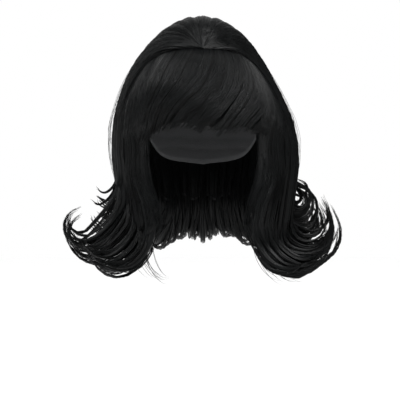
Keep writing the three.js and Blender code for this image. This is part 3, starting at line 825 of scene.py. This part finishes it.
def curl_strands(name, section, seed, stem=5, points=16):
    """The free curls of a fall: each a thin wisp that leaves the surface and turns up and round."""
    fall = FALLS[name]
    rng = np.random.default_rng(seed)
    paths = []
    for curl in (curl for curl in CURLS if curl["on"] == name):
        count = curl["strands"]
        around = rng.uniform(0, 2 * math.pi, count)
        apart = 0.0016 * np.sqrt(rng.random(count))
        own = {key: np.full(count, float(curl[key])) for key in curl if key not in ("on", "strands")}
        own["heading"] = fall["side"] * lerp(fall["front"], fall["rear"], own["across"])
        for key, amount in (("bend", 0.012), ("flip", 0.05), ("turn", 0.03), ("tip", 0.5)):
            own[key] = own[key] * rng.uniform(1 - amount, 1 + amount, count)
        own = {key: value[:, None] for key, value in own.items()}
        f = np.linspace(0, 1, points)[None] * rng.uniform(0.86, 1, count)[:, None]
        line, deep = lock_line(own, f)
        wide = level_vector(own["heading"] + 90)
        spread = (apart[:, None] * (1 - 0.7 * smoothstep(f, 0.5, 1)))[..., None]
        line = line + spread * (wide * np.cos(around)[:, None, None] + deep * np.sin(around)[:, None, None])
        above = own["leave"] - np.linspace(0.45, 0.04, stem)
        over = own["across"] + rng.uniform(-0.1, 0.1, (count, 1)) * np.linspace(1, 0.1, stem)
        paths.append(np.concatenate([laid(*section, over, own["place"] + 0 * over, above), line], 1))
    paths = np.concatenate(paths)
    return paths, taper(len(paths), stem + points, rng, 0.82, 0.3), rng.random(len(paths))


def loose_ends(name, count, seed, points=14, inwards=0.8):
    """Single strands that leave the lock of a temple and hang under it.

    On the right they turn outwards like the lock, and on the left inwards by a share of that.
    """
    lock = next(lock for lock in LOCKS if lock["on"] == name)
    fall = FALLS[name]
    rng = np.random.default_rng(seed)
    own = {key: np.full(count, float(lock[key])) for key in LOCK_MEASURES}
    own["leave"] = own["leave"] + rng.uniform(0.12, 0.2, count)
    own["bend"] = own["bend"] * rng.uniform(0.8, 1.0, count)
    own["flip"] = own["flip"] * rng.uniform(0.5, 0.9, count)
    own["turn"] = rng.uniform(76, 100, count)
    own["tip"] = rng.uniform(0.1, 0.5, count)
    own["place"] = rng.uniform(0.1, 0.9, count)
    own["heading"] = fall["side"] * rng.uniform(fall["front"], fall["rear"] + 8, count)
    own = {key: value[:, None] for key, value in own.items()}
    line, _ = lock_line(own, np.linspace(0, 1, points)[None] * rng.uniform(0.75, 1, count)[:, None])
    if fall["side"] < 0:
        ahead = level_vector(own["heading"])
        line = line - (1 + inwards) * ahead * np.sum((line - line[:, :1]) * ahead, 2, keepdims=True)
    return line, taper(count, points, rng) * 0.7, rng.random(count)


def corner_strands(side, bangs, temple, count, seed, upper=7, lower=6, inset=11):
    """Strands at a corner of the bangs that run on down over the temple.

    They start this many degrees inside the temple's front edge, and the innermost lie deepest below.
    """
    rng = np.random.default_rng(seed)
    azimuth = rng.uniform(FACE_EDGE - inset, SWEEP_EDGE + 1, count)
    across = 0.5 - side * azimuth / (2 * SWEEP_EDGE)
    share = 1.03 - 0.12 * rng.random(count)
    v = lerp(0.25 * rng.random(count)[:, None], 0.84, np.linspace(0, 1, upper))
    before = across[:, None] - BANGS_SWEEP * v * v * 4 * (across * (1 - across))[:, None]
    above = laid(*bangs, before, share[:, None], v)
    end = rng.uniform(1.55, 1.95, count)
    along = lerp(BANGS_SIDE_END, end[:, None], np.linspace(0, 1, lower))
    over = np.clip((azimuth - FACE_EDGE) / (SWEEP_EDGE - FACE_EDGE), 0.02, 1)
    path, _ = temple
    edge = 1 - 0.12 * np.abs(2 * over - 1) ** 5
    rounding = np.clip((azimuth - FACE_EDGE + inset) / (inset + 4), 0, 1)
    edge = edge * lerp(rng.uniform(0.05, 0.3, count), 1, rounding)
    rising = lerp(0.84, 1, smoothstep(along, BANGS_SIDE_END, 1.6))
    below = hair_point(path(over[:, None] + 0 * along, along), (edge * share)[:, None] * rising)
    return np.concatenate([above, below], 1), taper(count, upper + lower, rng), rng.random(count)


def edge_roll(side, thickness, fade, count, seed, points=16):
    """The front edge of the long hair, rolled into a thin cord where it passes over the bangs."""
    rng = np.random.default_rng(seed)
    t = np.linspace(0.02, 0.8, points)
    edge = fan(0.012 if side < 0 else 0.988, t)
    middle = hair_point(edge, lerp(0.66, 0.98, smoothstep(t, 0, 0.3)))
    away = hair_point(edge, np.full(points, 1.2)) - middle
    away /= np.linalg.norm(away, axis=1, keepdims=True)
    ahead = np.gradient(middle, axis=0)
    ahead /= np.linalg.norm(ahead, axis=1, keepdims=True)
    beside = np.cross(away, ahead)
    faded = 1 - 0.75 * smoothstep(t, fade, fade + 0.3)
    radius = thickness / 2 * np.sqrt(rng.random(count))[:, None] * faded * smoothstep(t, 0, 0.2)
    angle = rng.uniform(0, 2 * math.pi, count)[:, None] + side * 9 * t
    paths = middle + away * (radius * np.cos(angle))[..., None] + beside * (radius * np.sin(angle))[..., None]
    return paths, taper(count, points, rng), rng.random(count)


def stray_strands(section, first, last, count, seed, points=10):
    """Single strands that stand off the surface in a long shallow bow."""
    rng = np.random.default_rng(seed)
    across = rng.uniform(0.3, 0.8, count)[:, None]
    start = rng.uniform(first, (first + last) / 2, count)[:, None]
    end = rng.uniform((first + last) / 2, last, count)[:, None]
    t = np.linspace(0, 1, points)
    share = 0.98 + rng.uniform(0.05, 0.22, count)[:, None] * np.sin(math.pi * t) ** 0.8
    across = across + rng.uniform(-0.05, 0.05, count)[:, None] * t
    paths = laid(*section, across, share, lerp(start, end, t))
    return paths, taper(count, points, rng) * 0.5, rng.random(count)


def together(*groups):
    """Strand groups as one, each brought to the same number of points."""
    length = max(group[0].shape[1] for group in groups)
    paths, radii = [], []
    for points, thickness, _ in groups:
        at = np.linspace(0, points.shape[1] - 1, length)
        i = np.minimum(at.astype(int), points.shape[1] - 2)
        part = (at - i)[None, :, None]
        paths.append(points[:, i] * (1 - part) + points[:, i + 1] * part)
        radii.append(thickness[:, i] * (1 - part[..., 0]) + thickness[:, i + 1] * part[..., 0])
    return np.concatenate(paths), np.concatenate(radii), np.concatenate([group[2] for group in groups])


# Materials


def hair_material(name, roughness, specular, streaks):
    """Black synthetic fibre. Each strand has its own tone, and the underlayer shows streaks of strands."""
    material = bpy.data.materials.new(name)
    material.use_nodes = True
    nodes = material.node_tree.nodes
    links = material.node_tree.links
    shader = nodes["Principled BSDF"]
    shader.inputs["Specular IOR Level"].default_value = specular
    strand = nodes.new("ShaderNodeAttribute")
    strand.attribute_name = "strand"
    noise = nodes.new("ShaderNodeTexNoise")
    noise.noise_dimensions = "1D"
    noise.inputs["Scale"].default_value = streaks
    noise.inputs["Detail"].default_value = 6
    links.new(strand.outputs["Fac"], noise.inputs["W"])
    tone = nodes.new("ShaderNodeValToRGB")
    tone.color_ramp.elements[0].position = 0.3
    tone.color_ramp.elements[0].color = FIBRE_TONES[0]
    tone.color_ramp.elements[1].position = 0.75
    tone.color_ramp.elements[1].color = FIBRE_TONES[1]
    links.new(noise.outputs["Fac"], tone.inputs["Fac"])
    links.new(tone.outputs["Color"], shader.inputs["Base Color"])
    gloss = nodes.new("ShaderNodeMapRange")
    gloss.inputs["From Min"].default_value = 0.3
    gloss.inputs["From Max"].default_value = 0.7
    gloss.inputs["To Min"].default_value = roughness + 0.14
    gloss.inputs["To Max"].default_value = roughness - 0.06
    links.new(noise.outputs["Fac"], gloss.inputs["Value"])
    links.new(gloss.outputs["Result"], shader.inputs["Roughness"])
    bump = nodes.new("ShaderNodeBump")
    bump.inputs["Strength"].default_value = 0.5
    bump.inputs["Distance"].default_value = 0.0006
    links.new(noise.outputs["Fac"], bump.inputs["Height"])
    links.new(bump.outputs["Normal"], shader.inputs["Normal"])
    return material


def cap_material():
    """The cap's net: a fine mesh with rows of sewn-in weft."""
    material = bpy.data.materials.new("cap_net")
    material.use_nodes = True
    nodes = material.node_tree.nodes
    links = material.node_tree.links
    shader = nodes["Principled BSDF"]
    shader.inputs["Roughness"].default_value = 0.8
    shader.inputs["Specular IOR Level"].default_value = 0.3
    place = nodes.new("ShaderNodeNewGeometry")
    rows = nodes.new("ShaderNodeTexWave")
    rows.bands_direction = "Z"
    rows.inputs["Scale"].default_value = 22
    rows.inputs["Distortion"].default_value = 3
    links.new(place.outputs["Position"], rows.inputs["Vector"])
    net = nodes.new("ShaderNodeTexVoronoi")
    net.inputs["Scale"].default_value = 700
    links.new(place.outputs["Position"], net.inputs["Vector"])
    mixed = nodes.new("ShaderNodeMath")
    mixed.operation = "MULTIPLY_ADD"
    mixed.inputs[1].default_value = 0.9
    links.new(net.outputs["Distance"], mixed.inputs[0])
    links.new(rows.outputs["Fac"], mixed.inputs[2])
    tone = nodes.new("ShaderNodeValToRGB")
    tone.color_ramp.elements[0].color = NET_TONES[0]
    tone.color_ramp.elements[1].color = NET_TONES[1]
    links.new(mixed.outputs["Value"], tone.inputs["Fac"])
    links.new(tone.outputs["Color"], shader.inputs["Base Color"])
    bump = nodes.new("ShaderNodeBump")
    bump.inputs["Strength"].default_value = 0.25
    bump.inputs["Distance"].default_value = 0.001
    links.new(mixed.outputs["Value"], bump.inputs["Height"])
    links.new(bump.outputs["Normal"], shader.inputs["Normal"])
    return material


def plain_material(name, colour, roughness):
    """An even, opaque colour."""
    material = bpy.data.materials.new(name)
    material.use_nodes = True
    shader = material.node_tree.nodes["Principled BSDF"]
    shader.inputs["Base Color"].default_value = (*colour, 1)
    shader.inputs["Roughness"].default_value = roughness
    return material


def place(piece, material, slot, node):
    """Puts a piece in place of a node of the CAD."""
    piece.data.materials.append(material)
    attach(piece, "root")
    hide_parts(node)


fibre = hair_material("fibre", roughness=0.34, specular=0.06, streaks=60)
under_fibre = hair_material("under_fibre", roughness=0.4, specular=0.045, streaks=130)


def dress(node, section, start, end, strands, waves=0, tongue=1):
    """One section of hair: its underlayer, with the hearts of its locks, and its strands."""
    points, faces, across = underlayer(*section, start, end, waves, tongue)
    if node in FALLS:
        core_points, core_faces, core_across = lock_cores(node)
        faces = np.concatenate([faces, core_faces + len(points)])
        points = np.concatenate([points, core_points])
        across = np.concatenate([across, core_across])
    under = mesh_of(node + "_under", points, faces, across)
    place(under, under_fibre, "hair", node)
    hair = strand_mesh(node + "_strands", *strands)
    place(hair, fibre, "hair", node)


def cap_piece(steps=96, rows=24):
    """The cap, a closed shell between its outer and inner sides, in steps round the head."""
    rings = []
    for azimuth in np.linspace(0, 360, steps, endpoint=False):
        edge = float(read(CAP_EDGE, "level", min(azimuth, 360 - azimuth)))
        spots = spot_at(azimuth, edge * np.linspace(0.01, 1, rows))
        rings.append(np.concatenate([point_off(spots, CAP_WALL), point_off(spots, 0.0)[::-1]]))
    points = np.concatenate(rings)
    around = 2 * rows
    faces = grid_faces(steps, around)
    first = np.arange(around)
    last = (steps - 1) * around + first
    closing = np.stack([last, np.roll(last, -1), np.roll(first, -1), first], 1)
    faces = np.concatenate([faces, closing])
    piece = mesh_of("cap", points, faces, np.zeros(len(points)))
    place(piece, cap_material(), "cap", "wig_cap")


def stage():
    """A plain pale floor under the wig, white air and soft studio lights."""
    bpy.ops.mesh.primitive_plane_add(size=FLOOR_SIZE, location=(0, 0, cad_box[0].z - FLOOR_DROP))
    floor = bpy.context.object
    floor.name = "floor"
    floor.data.materials.append(plain_material("floor_paper", (0.97, 0.97, 0.97), 0.9))
    world = bpy.data.worlds.new("white_air")
    world.use_nodes = True
    world.node_tree.nodes["Background"].inputs["Color"].default_value = (1, 1, 1, 1)
    world.node_tree.nodes["Background"].inputs["Strength"].default_value = 1.0
    bpy.context.scene.world = world
    bpy.context.scene.view_settings.view_transform = "Standard"
    middle = Vector((0, 0, (cad_box[0].z + cad_box[1].z) / 2))
    for row in LIGHTS:
        data = bpy.data.lights.new(row["name"], "AREA")
        data.size = row["size"]
        data.energy = row["power"]
        light = bpy.data.objects.new(row["name"], data)
        light.location = row["spot"]
        light.rotation_euler = (middle - Vector(row["spot"])).to_track_quat("-Z", "Y").to_euler()
        bpy.context.scene.collection.objects.link(light)


def place_camera():
    """The camera, level before the face."""
    data = bpy.data.cameras.new("camera")
    data.angle = 2 * math.atan(VIEW_WIDTH / 2 / CAMERA_DISTANCE)
    camera = bpy.data.objects.new("camera", data)
    camera.location = (CAMERA_X, FACE_Y - CAMERA_DISTANCE, CAMERA_Z)
    camera.rotation_euler = (math.pi / 2, 0, 0)
    data.clip_end = 100
    bpy.context.scene.collection.objects.link(camera)
    bpy.context.scene.camera = camera


def bangs_pieces(bangs):
    """The bangs: small clumps and a ragged lower edge."""
    lay = {"gather": 0.35, "spill": 0.0, "sweep": 0.1, "ragged": 0.02}
    strands = section_strands(bangs, 0.0, 1.01, count=1900, seed=11, clumps=44, points=11, **lay)
    dress("bangs", bangs, 0.0, 0.95, strands)


def crown_strands(section, count, seed, clumps):
    """Combed strands of the crown, from the pin to just past its end."""
    return section_strands(section, 0.0, 0.95, count, seed, clumps, points=14, gather=0.1)


def crown_pieces():
    """The two lobes of the crown."""
    for side, node, seed in ((-1, "crown_left", 21), (1, "crown_right", 22)):
        crown = crown_section(side)
        strands = crown_strands(crown, count=760, seed=seed, clumps=10)
        dress(node, crown, 0.02, CROWN_END, strands)


def tuft_pieces():
    """The tuft, whose strands are nearer to each other in tone than the others."""
    tuft = tuft_section()
    paths, radii, tone = crown_strands(tuft, count=240, seed=23, clumps=4)
    dress("crown_tuft", tuft, 0.03, CROWN_END, (paths, radii, 0.3 * tone + 0.2))


def temple_pieces(bangs):
    """The hair before the ears, under the corners of the bangs."""
    for side, node, seed in ((-1, "temple_left", 31), (1, "temple_right", 32)):
        temple = temple_section(side)
        strands = together(
            fall_strands(node, temple, TEMPLE_START, seed, panel_points=6),
            corner_strands(side, bangs, temple, count=470, seed=seed + 10),
            loose_ends(node, count=12, seed=seed + 20),
        )
        dress(node, temple, TEMPLE_START, TEMPLE_UNDER_END, strands, waves=9, tongue=0.4)


def side_fall_pieces():
    """The long hair over the ears, with its rolled front edge, free curls and stray strands."""
    for extra in SIDE_EXTRAS:
        node, seed = extra["node"], extra["seed"]
        section = fall_section(node)
        strands = together(
            fall_strands(node, section, 0.0, seed, panel_points=10),
            curl_strands(node, section, seed + 30),
            edge_roll(FALLS[node]["side"], extra["roll"], extra["fade"], count=90, seed=seed + 10),
            stray_strands(section, first=0.5, last=1.6, count=extra["strays"], seed=seed + 20),
        )
        dress(node, section, 0.03, SIDE_UNDER_END, strands, waves=13)


def back_fall_pieces():
    """The long hair behind the head."""
    for seed, node in enumerate(("back_fall_left", "back_fall_centre", "back_fall_right"), 43):
        section = fall_section(node)
        strands = fall_strands(node, section, BACK_START, seed, panel_points=7)
        dress(node, section, BACK_START, BACK_UNDER_END, strands, waves=13)


stage()
place_camera()
cap_piece()
fringe = bangs_section()
bangs_pieces(fringe)
crown_pieces()
tuft_pieces()
temple_pieces(fringe)
side_fall_pieces()
back_fall_pieces()
